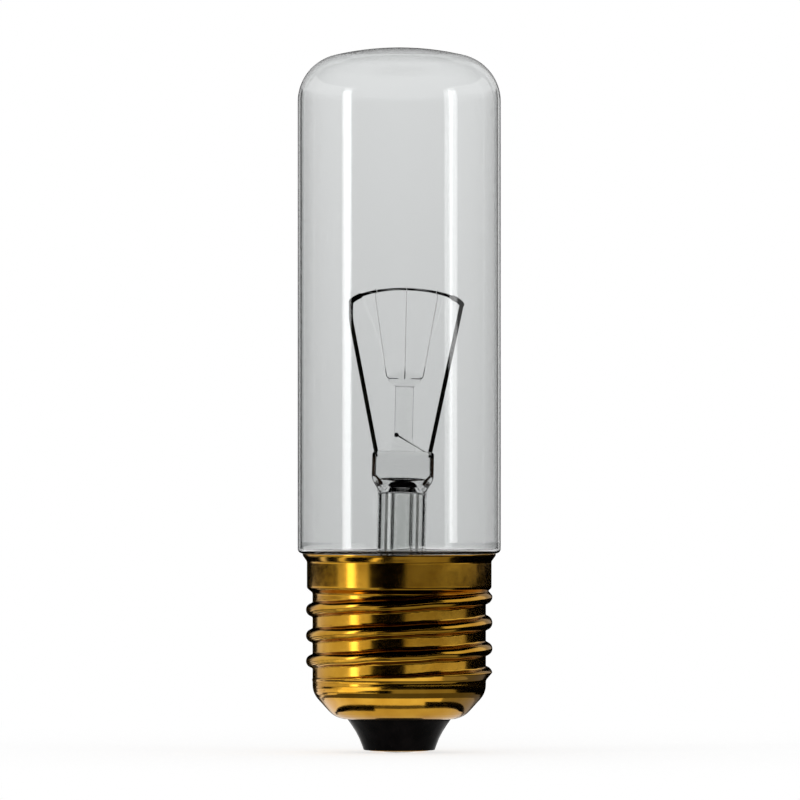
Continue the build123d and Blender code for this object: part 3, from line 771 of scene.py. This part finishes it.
# %% Build the thread tree
def thread_tree():
    labels = ["Pitch", "Root radius", "Wall", "Ridge height", "Crest round", "Flank start"]
    labels += ["Flank slope", "Crest on the right", "Lower end", "Upper end", "Run out"]
    labels += ["Root round", "Wander"]
    tree, given = new_tree("rolled thread", {label: 1.0 for label in labels})

    def m(operation, *values):
        return calc(tree, operation, *values)

    place = add(tree, "GeometryNodeInputPosition").outputs[0]
    x, y, z = add(tree, "ShaderNodeSeparateXYZ", place).outputs
    radius = m("SQRT", m("ADD", m("MULTIPLY", x, x), m("MULTIPLY", y, y)))

    turn = m("DIVIDE", m("ARCTAN2", y, x), math.tau)
    drift = add(tree, "ShaderNodeTexNoise", noise_dimensions="3D")
    feed(tree, drift, {"Vector": place, "Scale": 160.0, "Detail": 1.0})
    drift = m("MULTIPLY", m("SUBTRACT", drift.outputs[0], 0.5), given["Wander"])
    rise = m("SUBTRACT", m("ADD", z, drift), given["Crest on the right"])
    phase = m("SUBTRACT", m("DIVIDE", rise, given["Pitch"]), turn)
    off = m("ABSOLUTE", m("SUBTRACT", phase, m("ROUND", phase)))
    off = m("MULTIPLY", off, given["Pitch"])

    centre = m("SUBTRACT", given["Ridge height"], given["Crest round"])
    crest_square = m("MULTIPLY", given["Crest round"], given["Crest round"])
    square = m("SUBTRACT", crest_square, m("MULTIPLY", off, off))
    crest = m("ADD", centre, m("SQRT", m("MAXIMUM", square, 0.0)))
    start = given["Flank start"]
    edge = m("SUBTRACT", crest_square, m("MULTIPLY", start, start))
    touch = m("ADD", centre, m("SQRT", edge))
    flank = m("MULTIPLY", m("SUBTRACT", off, start), given["Flank slope"])
    flank = m("SUBTRACT", touch, flank)
    ridge = add(tree, "ShaderNodeMix", m("GREATER_THAN", off, start), data_type="FLOAT")
    feed(tree, ridge, {"A": crest, "B": flank})

    slope = m("DIVIDE", given["Ridge height"], given["Run out"])
    from_low = m("MULTIPLY", m("SUBTRACT", z, given["Lower end"]), slope)
    from_high = m("MULTIPLY", m("SUBTRACT", given["Upper end"], z), slope)
    ridge = m("MINIMUM", ridge.outputs[0], m("MINIMUM", from_low, from_high))
    out = m("ADD", given["Root radius"], ridge)
    pushed = m("SMOOTH_MAX", radius, out, given["Root round"])

    mid_wall = m("SUBTRACT", given["Root radius"], m("DIVIDE", given["Wall"], 2.0))
    lowest = m("SUBTRACT", given["Lower end"], given["Run out"])
    highest = m("ADD", given["Upper end"], given["Run out"])
    threaded = m("MULTIPLY", m("GREATER_THAN", radius, mid_wall), m("GREATER_THAN", z, lowest))
    threaded = m("MULTIPLY", threaded, m("LESS_THAN", z, highest))
    scale = m("DIVIDE", pushed, m("MAXIMUM", radius, 1e-6))
    moved = add(tree, "ShaderNodeCombineXYZ", m("MULTIPLY", x, scale), m("MULTIPLY", y, scale), z)
    rolled = add(
        tree, "GeometryNodeSetPosition", given["Geometry"], threaded, moved.outputs[0]
    )
    close_tree(tree, rolled.outputs[0], given["Material"])
    return tree


THREAD = thread_tree()
print(f"{THREAD.name}: {len(THREAD.nodes)} nodes")

# %% [markdown]
# The shell's outline goes up its outside in short steps, so that the thread has points to push,
# and down its inside in long ones. A ridge is a round crest on two straight flanks, and the flanks
# touch the crest where its tangent passes through their foot.

# %% Draw the shell's outline and one ridge
SHELL_WALL = 0.3 * MM
ROOT, RIDGE, PITCH = 12.3 * MM, 0.925 * MM, 3.629 * MM
CREST_ROUND, CREST_FOOT = 0.95 * MM, 2.3 * MM
LIP_BASE = LIP_TOP - 1.1 * MM
SKIRT_BASE = LIP_BASE - 3.75 * MM
MOUTH, FLOOR, CONE = 7.35 * MM, 8.95 * MM, 3.68 * MM
floor_round = 0.95 * (FLOOR - MOUTH) / math.tan(math.atan2(CONE, ROOT - FLOOR) / 2)

shell_corners = [
    (MOUTH, SHELL_BASE, 0),
    (FLOOR, SHELL_BASE, floor_round),
    (ROOT, SHELL_BASE + CONE, 3.0 * MM),
    (ROOT, SKIRT_BASE - 0.7 * MM, 0.5 * MM),
    (SKIRT_RADIUS, SKIRT_BASE, 0.5 * MM),
    (SKIRT_RADIUS, LIP_BASE, 0.35 * MM),
    (LIP_RADIUS, LIP_BASE + 0.85 * MM, 0.35 * MM),
    (LIP_RADIUS, LIP_TOP, 0),
]
outer = rounded(shell_corners, 0.11 * MM, math.radians(10))
inner = rounded(inset(shell_corners[::-1], SHELL_WALL))
shell_outline = outer + inner + outer[:1]

foot = CREST_FOOT / 2
centre = RIDGE - CREST_ROUND
reach = math.hypot(centre + SHELL_WALL, foot)
flank_angle = math.atan2(foot, -SHELL_WALL - centre) - math.acos(CREST_ROUND / reach)
flank_start = CREST_ROUND * math.sin(flank_angle)
flank_drop = centre + CREST_ROUND * math.cos(flank_angle) + SHELL_WALL
flank_slope = flank_drop / (foot - flank_start)
print(f"shell outline: {len(shell_outline)} points, flank slope {flank_slope:.2f}")

# %% Turn the shell and roll its thread
shell = new_piece("brass_shell", [(p.x, 0, p.y) for p in shell_outline])
use_tree(shell, LATHE, BRASS, Steps_round=300)
use_tree(
    shell,
    THREAD,
    BRASS,
    Pitch=PITCH,
    Root_radius=ROOT,
    Wall=SHELL_WALL,
    Ridge_height=RIDGE,
    Crest_round=CREST_ROUND,
    Flank_start=flank_start,
    Flank_slope=flank_slope,
    Crest_on_the_right=22.05 * MM,
    Lower_end=SHELL_BASE + 5.5 * MM,
    Upper_end=SKIRT_BASE,
    Run_out=1.1 * MM,
    Root_round=0.3 * MM,
    Wander=0.5 * MM,
)
dress(made_plain(shell), "brass", "screw_shell")

# %% [markdown]
# ## Insulator and contact
# Below the shell a cone of black glass keeps the centre contact apart from it. It was poured into
# the shell, so its outline follows the shell's inside and then the open well in its middle.

# %% Turn the insulator
BASE = insulator_low.z
BASE_RADIUS = 5.05 * MM
FILL_TOP = SHELL_BASE + 3.1 * MM
BORE = 1.6 * MM
PLATE_TOP = plate_low.z + 0.45 * MM
waist = Vector(((MOUTH + BASE_RADIUS) / 2 - 0.4 * MM, (SHELL_BASE + BASE) / 2))
cone_side = rounded(
    [
        (PLATE_RADIUS, PLATE_TOP, 0),
        (PLATE_RADIUS, BASE, 0),
        (BASE_RADIUS, BASE, 0.15 * MM),
        (waist.x, waist.y, 12 * MM),
        (MOUTH, SHELL_BASE, 0),
    ],
    0.4 * MM,
)
in_shell = [p - Vector((CLEAR, 0)) for p in inner[::-1] if p.y < FILL_TOP]
well = [(BORE, FILL_TOP - 1.0 * MM), (BORE, PLATE_TOP), (PLATE_RADIUS, PLATE_TOP)]
insulator_outline = cone_side + in_shell + [Vector(point) for point in well]
insulator = turned("black_insulator", insulator_outline, BLACK_GLASS, 160)
dress(insulator, "black_glass", "cap_insulator")

# %% [markdown]
# The contact is a brass disc let into the glass, with an eyelet drawn up from it for the wire. A
# flattened drop of solder fills the eyelet and is the lowest point of the lamp.

# %% Turn the contact and its solder
EYELET_INSIDE, EYELET_OUTSIDE = 0.9 * MM, 1.3 * MM
plate_outline = rounded(
    [
        (EYELET_INSIDE, plate_low.z, 0),
        (PLATE_RADIUS, plate_low.z, 0.12 * MM),
        (PLATE_RADIUS, PLATE_TOP, 0),
        (EYELET_OUTSIDE, PLATE_TOP, 0.1 * MM),
        (EYELET_OUTSIDE, plate_high.z, 0.1 * MM),
        (EYELET_INSIDE, plate_high.z, 0),
        (EYELET_INSIDE, plate_low.z, 0),
    ],
    0.4 * MM,
)
plate = turned("contact_disc", plate_outline, BRASS, 96)
dress(plate, "brass", "contact_plate")

solder_outline = rounded(
    [
        (0, 0, 0),
        (1.9 * MM, 0, 2.0 * MM),
        (solder_high.x, plate_low.z, 0),
        (EYELET_INSIDE, plate_low.z, 0),
        (EYELET_INSIDE, solder_high.z, 0),
        (0, solder_high.z, 0),
    ],
    0.2 * MM,
)
solder = turned("contact_drop", solder_outline, SOLDER, 64)
dress(solder, "solder", "contact_solder")

# %% [markdown]
# The drop of solder at the lip joins the side wire to the shell, on the far side of the lamp. It
# starts as a round ball and is pulled about by a noise, as a drop that froze on a sheet edge is.

# %% Shape the rim solder
from mathutils import noise as field

LUMPS, LUMP_SIZE = 0.10, 1.6
middle = (rim_low + rim_high) / 2
size = (rim_high - rim_low) / 2
drop = new_piece("rim_drop", [])
bm = bmesh.new()
bmesh.ops.create_icosphere(bm, subdivisions=4, radius=1.0)
for vertex in bm.verts:
    lump = 1 + LUMPS * field.noise(vertex.co * LUMP_SIZE + Vector((3, 1, 2)))
    vertex.co = middle + Vector(a * b for a, b in zip(vertex.co, size)) * 0.9 * lump
for face in bm.faces:
    face.smooth = True
bm.to_mesh(drop.data)
bm.free()
drop.data.materials.append(SOLDER)
dress(drop, "solder", "rim_solder")

# %% [markdown]
# ## Wires and cement
# The CAD wires already have their true shape and are too thin to show a facet, so they keep their
# own meshes and only take a finish. The same goes for the cement, which hides inside the skirt.

# %% Finish the carried-over solids
carried = {
    NICKEL: ["lead_wire_left", "lead_wire_right"],
    GETTER: ["getter_pin"],
    MOLYBDENUM: ["support_wire_left", "support_wire_centre", "support_wire_right"],
    COPPER: ["seal_wire_left", "seal_wire_right"],
    TINNED: ["outer_lead_shell", "outer_lead_contact"],
    CEMENT: ["basing_cement"],
}
for material, names in carried.items():
    for name in names:
        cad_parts[name].data.materials.clear()
        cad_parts[name].data.materials.append(material)
    print(f"{material.name}: {', '.join(names)}")

# %% [markdown]
# ## Studio
# The lamp stands on a white floor in front of white, as catalogue glass does. Both are plain white
# to the camera, in a mirror and through glass, and light the lamp at half that strength, so that a
# colour renders about as it is written. The floor is lit paper near the lamp, which takes a
# shadow, and turns into even white further out.

# %% White room
world = bpy.data.worlds.new("white room")
scene.world = world
world.use_nodes = True
room = world.node_tree
room.nodes.clear()
path = room.nodes.new("ShaderNodeLightPath").outputs
seen = calc(room, "MAXIMUM", path["Is Camera Ray"], path["Is Glossy Ray"])
seen = calc(room, "MAXIMUM", seen, path["Is Transmission Ray"])
soft = add(room, "ShaderNodeBackground", (1, 1, 1, 1), 0.5).outputs[0]
white = add(room, "ShaderNodeBackground", (1, 1, 1, 1), 1.0).outputs[0]
shown = add(room, "ShaderNodeMixShader", seen, soft, white).outputs[0]
add(room, "ShaderNodeOutputWorld", shown)
print(f"{world.name}: {len(room.nodes)} nodes")

# %% Floor
FLOOR_RADIUS, PAPER_END, WHITE_START, PAPER_GLOW = 0.16, 0.05, 0.14, 0.675
floor = new_piece("floor", [])
bm = bmesh.new()
bmesh.ops.create_circle(bm, cap_ends=True, segments=96, radius=FLOOR_RADIUS)
bm.to_mesh(floor.data)
bm.free()
paper, tree, spot, shader = new_finish("white floor")
feed(tree, shader, {"Base Color": (0.6, 0.6, 0.6, 1), "Roughness": 0.9, "Specular IOR Level": 0.0})
away = add(tree, "ShaderNodeVectorMath", spot, operation="LENGTH").outputs["Value"]
away = add(tree, "ShaderNodeMapRange", away, PAPER_END, WHITE_START, 0.0, 1.0)
away.interpolation_type = "SMOOTHSTEP"
glow = add(tree, "ShaderNodeEmission", (1, 1, 1, 1), PAPER_GLOW).outputs[0]
lit = add(tree, "ShaderNodeAddShader", shader.outputs[0], glow).outputs[0]
plain = add(tree, "ShaderNodeEmission", (1, 1, 1, 1), 1.0).outputs[0]
mix = add(tree, "ShaderNodeMixShader", away.outputs[0], lit, plain).outputs[0]
feed(tree, output_of(tree), {"Surface": mix})
floor.data.materials.append(paper)
print(f"floor: {2 * FLOOR_RADIUS:.2f} m across")

# %% [markdown]
# Two upright strip lights at the sides leave the two bright lines on the tube, and the left one
# the highlight on the brass. The real cap shows no such line from the right, so light linking
# keeps the right strip off the shell. A strip's power follows from how bright it should look, and
# from the angle that it fills.


# %% Strip lights
def bearing(azimuth, distance, height):
    """A point round the lamp: 0 is the camera's side, and 90 the right."""
    angle = math.radians(azimuth)
    return Vector((math.sin(angle) * distance, -math.cos(angle) * distance, height))


def strip_light(name, azimuth, half_angle, radiance, low, high, distance=0.55):
    """An upright area light that faces the lamp and fills that angle, between two heights."""
    width = 2 * distance * math.tan(math.radians(half_angle))
    height, level = high - low, (low + high) / 2
    lamp = bpy.data.lights.new(name, "AREA")
    lamp.shape = "RECTANGLE"
    lamp.size, lamp.size_y = width, height
    lamp.energy = radiance * math.pi * width * height
    stand = bpy.data.objects.new(name, lamp)
    scene.collection.objects.link(stand)
    stand.location = bearing(azimuth, distance, level)
    way = Vector((0, 0, level)) - stand.location
    stand.rotation_euler = way.to_track_quat("-Z", "Y").to_euler()
    print(f"{name}: {lamp.energy:.2f} W")
    return stand


strip_light("left_strip", -62, 5.5, 3.8, -0.14, 0.28)
right_strip = strip_light("right_strip", 64, 5.0, 3.2, 0.0225, 0.28)
unlit = bpy.data.collections.new("not lit by the right strip")
unlit.objects.link(shell)
unlit.collection_objects[0].light_linking.link_state = "EXCLUDE"
right_strip.light_linking.receiver_collection = unlit

# %% [markdown]
# Glass and metal are seen only by what they mirror or bend, so black, grey and bright cards stand
# round the lamp, as they do in a studio. A card shows in one kind of ray alone: most in mirror
# rays, which give the brass its bands and the tube its edges, and three in rays that leave glass.
# The card for bent rays looks white to a ray that has only crossed the tube's two walls, which are
# four surfaces, and black to one that the stem has bent or mirrored. So the stem gets its dark
# lines, and the tube stays clear from every side.


# %% Card finishes
def card_finish(name, strength):
    """A card that looks equally bright from everywhere."""
    material = bpy.data.materials.new(name)
    material.use_nodes = True
    tree = material.node_tree
    tree.nodes.clear()
    glow = add(tree, "ShaderNodeEmission", (1, 1, 1, 1), strength)
    add(tree, "ShaderNodeOutputMaterial", glow.outputs[0])
    return material, tree, glow


BLACK = card_finish("black card", 0.0)[0]
GREY = card_finish("grey card", 0.15)[0]
HALF = card_finish("half card", 0.4)[0]
FULL = card_finish("full card", 1.3)[0]
BRIGHT = card_finish("bright card", 2.4)[0]
BENT, tree, glow = card_finish("card for bent rays", 0.0)
path = tree.nodes.new("ShaderNodeLightPath").outputs
straight = calc(tree, "LESS_THAN", path["Transmission Depth"], 4.5)
unmirrored = calc(tree, "LESS_THAN", path["Glossy Depth"], 0.5)
feed(tree, glow, {"Strength": calc(tree, "MULTIPLY", straight, unmirrored)})
print("cards:", ", ".join(finish.name for finish in (BLACK, GREY, HALF, FULL, BRIGHT, BENT)))


# %% Make cards
FLAG_DISTANCE = 0.8
BOTTOM, TOP, CEILING = -0.3, 0.6, 0.9


def card(name, points, material, seen_by):
    """A strip of card between two rows of points, which only one kind of ray sees."""
    faces = [(i, i + 1, i + 3, i + 2) for i in range(0, len(points) - 2, 2)]
    piece = new_piece(name, points, faces)
    piece.data.materials.append(material)
    for ray in ("camera", "diffuse", "glossy", "transmission", "volume_scatter", "shadow"):
        setattr(piece, f"visible_{ray}", ray == seen_by)


def bearings(start, end):
    """Bearings a few degrees apart."""
    steps = math.ceil((end - start) / 5)
    return [start + (end - start) * i / steps for i in range(steps + 1)]


def upright_card(
    name, start, end, material, low=BOTTOM, high=TOP, away=FLAG_DISTANCE, seen_by="glossy"
):
    """A curved card that stands round the lamp from one bearing to another."""
    points = [bearing(a, away, z) for a in bearings(start, end) for z in (low, high)]
    card(name, points, material, seen_by)


def level_card(
    name, inside, outside, material, start=0, end=360, height=0.0005, bow=0.0, seen_by="glossy"
):
    """A level card round the lamp, whose radius grows with the bearing by that share at 90."""
    points = []
    for a in bearings(start, end):
        grow = 1 + bow * (a / 90) ** 2
        points += [bearing(a, r * grow, height) for r in (inside, outside)]
    card(name, points, material, seen_by)


# %% [markdown]
# Far cards are stacked by height. The upright faces of the thread mirror the lowest ones, the
# skirt those above, then come the lip's, and the glass mirrors what stands higher than the lip.

# %% Cards that stand round the lamp
LOW_LAND_END, LAND_END = -0.0065, 0.0075
SKIRT_FLAG_END, SKIRT_END, LIP_END = 0.0118, 0.0153, 0.0185
ROOM_TOP = 0.14
upright_card("front_flag", -38, 8, BLACK)
upright_card("low_land_card", 8, 99, FULL, BOTTOM, LOW_LAND_END)
upright_card("right_land_card", 8, 99, HALF, LOW_LAND_END, LAND_END)
upright_card("right_land_flag", 99, 113, BLACK, BOTTOM, LAND_END)
upright_card("skirt_flag", 8, 113, BLACK, LAND_END, SKIRT_FLAG_END)
upright_card("skirt_card", 8, 113, HALF, SKIRT_FLAG_END, SKIRT_END)
upright_card("left_lip_flag", -82, -56.5, BLACK, SKIRT_END, LIP_END)
upright_card("right_lip_flag", 57, 113, BLACK, SKIRT_END, LIP_END)
upright_card("back_flag", 113, 220, BLACK, BOTTOM, LIP_END)
upright_card("left_flag", -140, -82, BLACK, 0.0085, LIP_END)
upright_card("left_rim_flag", -180, -146, BLACK, LIP_END)
upright_card("left_rim_card", -146, -138, HALF, LIP_END)
upright_card("right_rim_card", 135, 160, HALF, LIP_END)
upright_card("right_rim_flag", 160, 180, BLACK, LIP_END)
upright_card("glass_flag", -56.5, 57, BLACK, 0.0165)
level_card("top_flag", 0.0, 1.0, BLACK, height=TOP)
upright_card("room_flag", -156, 156, BENT, -0.01, ROOM_TOP, seen_by="transmission")
upright_card("upper_room_flag", -142, 142, BLACK, ROOM_TOP, CEILING, seen_by="transmission")
level_card("ceiling_flag", 0.0, FLAG_DISTANCE, BLACK, height=CEILING, seen_by="transmission")
print("far cards stand", FLAG_DISTANCE, "m away")

# %% [markdown]
# The undersides of the ridges and the rounded bottom of the cap mirror the floor close by. Their
# bands lie there as rings round the lamp, a little wider at the sides, and low cards on edge make
# the bright spots on the bottom.

# %% Cards on the floor, from the cap outward
BOW = 0.2
rings = [
    ("left_line", 0.0105, 0.0114, BLACK, -130, -30),
    ("middle_line", 0.0109, 0.0114, GREY, -30, 30),
    ("right_line", 0.0109, 0.0119, BLACK, 30, 150),
    ("gold_ring", 0.0114, 0.0155, FULL, -130, 30),
    ("right_gold_ring", 0.0119, 0.0155, FULL, 30, 50),
    ("brown_ring", 0.0119, 0.0155, HALF, 50, 150),
    ("dip_ring", 0.0155, 0.0225, GREY, -130, 150),
    ("left_lip_ring", 0.0225, 0.027, BLACK, -130, -8),
    ("lip_ring", 0.0225, 0.045, HALF, -8, 70),
    ("right_lip_ring", 0.0225, 0.027, BLACK, 70, 150),
]
for ring in rings:
    level_card(*ring, bow=BOW)
level_card("low_flag", 0.027, 0.1, BLACK, height=0.0004)
level_card("right_low_flag", 0.1, 0.4, BLACK, -20, 220, height=0.0004)

EDGE_FOOT = 0.0006
for away, high in ((0.0235, 0.0020), (0.0300, 0.0035), (0.0420, 0.0040), (0.0600, 0.0030)):
    upright_card(f"left_bowl_card_{1000 * away:.0f}", -130, -76, FULL, EDGE_FOOT, high, away)
    upright_card(f"bowl_card_{1000 * away:.0f}", -76, -24, BRIGHT, EDGE_FOOT, high, away)
upright_card("right_bowl_card", -24, 62, HALF, EDGE_FOOT, 0.006, 0.030)
print(f"{len(rings)} rings on the floor")

# %% [markdown]
# ## Camera
# The picture was taken from far away, level with the middle of the lamp: the lip and the contact
# show as nearly straight lines. A long lens at one and a half metres gives the same flat view.
# Light crosses many glass surfaces here, so a ray may bounce more often than Blender lets it.

# %% Camera
VIEW_WIDTH = 113.5 * MM
VIEW_CENTRE = Vector((0.11 * MM, 0, 50.0 * MM))
DISTANCE = 1.5
BOUNCES = 32
camera = bpy.data.cameras.new("camera")
camera.sensor_width = 36.0
camera.lens = camera.sensor_width * DISTANCE / VIEW_WIDTH
tripod = bpy.data.objects.new("camera", camera)
scene.collection.objects.link(tripod)
tripod.location = VIEW_CENTRE - Vector((0, DISTANCE, 0))
tripod.rotation_euler = (math.radians(90), 0, 0)
scene.camera = tripod
scene.view_settings.view_transform = "Standard"
for limit in ("max_bounces", "transmission_bounces", "transparent_max_bounces"):
    setattr(scene.cycles, limit, BOUNCES)
print(f"lens {camera.lens:.0f} mm at {DISTANCE} m")
